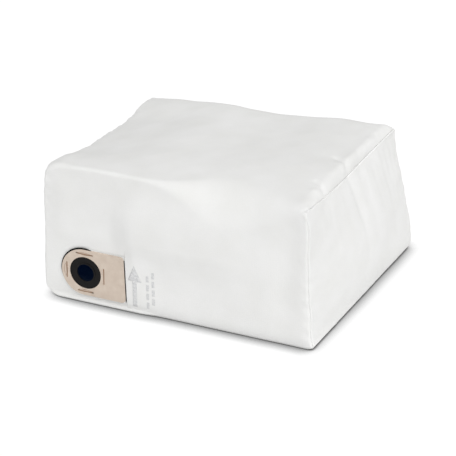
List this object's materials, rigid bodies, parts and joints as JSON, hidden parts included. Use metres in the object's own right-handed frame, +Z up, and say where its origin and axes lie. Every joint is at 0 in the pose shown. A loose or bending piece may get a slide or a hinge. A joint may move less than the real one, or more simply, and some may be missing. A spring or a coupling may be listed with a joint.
{
  "type": "dust collector filter bag",
  "caption": "Boxy fleece filter bag for a workshop dust collector, with a kraft board flange and a rubber inlet seal.",
  "frame": {"origin": "middle of the base panel, on the surface that the bag stands on", "axes": "+X along the bag's length, the inlet wall faces -Y, +Z up"},
  "size_m": [0.505, 0.4424, 0.2486],
  "materials": {
    "fleece": "matte",
    "filter_wadding": "matte",
    "scrim_net": "matte",
    "welded_fleece": "matte",
    "fleece_patch": "matte",
    "seal_rubber": "matte",
    "kraft_board": "matte",
    "hot_melt": "satin"
  },
  "bodies": {
    "root": {"back_panel": "fleece", "bottom_panel": "fleece", "closing_seam": "welded_fleece", "filter_left_end_ply": "filter_wadding", "filter_right_end_ply": "filter_wadding", "filter_wrap_ply": "filter_wadding", "flange_plate": "kraft_board", "flange_retainer": "kraft_board", "front_panel": "fleece", "inlet_patch": "fleece_patch", "inner_glue_ring": "hot_melt", "left_end_panel": "fleece", "left_end_seam": "welded_fleece", "outer_glue_ring": "hot_melt", "right_end_panel": "fleece", "right_end_seam": "welded_fleece", "scrim_left_end_ply": "scrim_net", "scrim_right_end_ply": "scrim_net", "scrim_wrap_ply": "scrim_net", "seal_membrane": "seal_rubber", "top_panel": "fleece"}
  },
  "joints": []
}
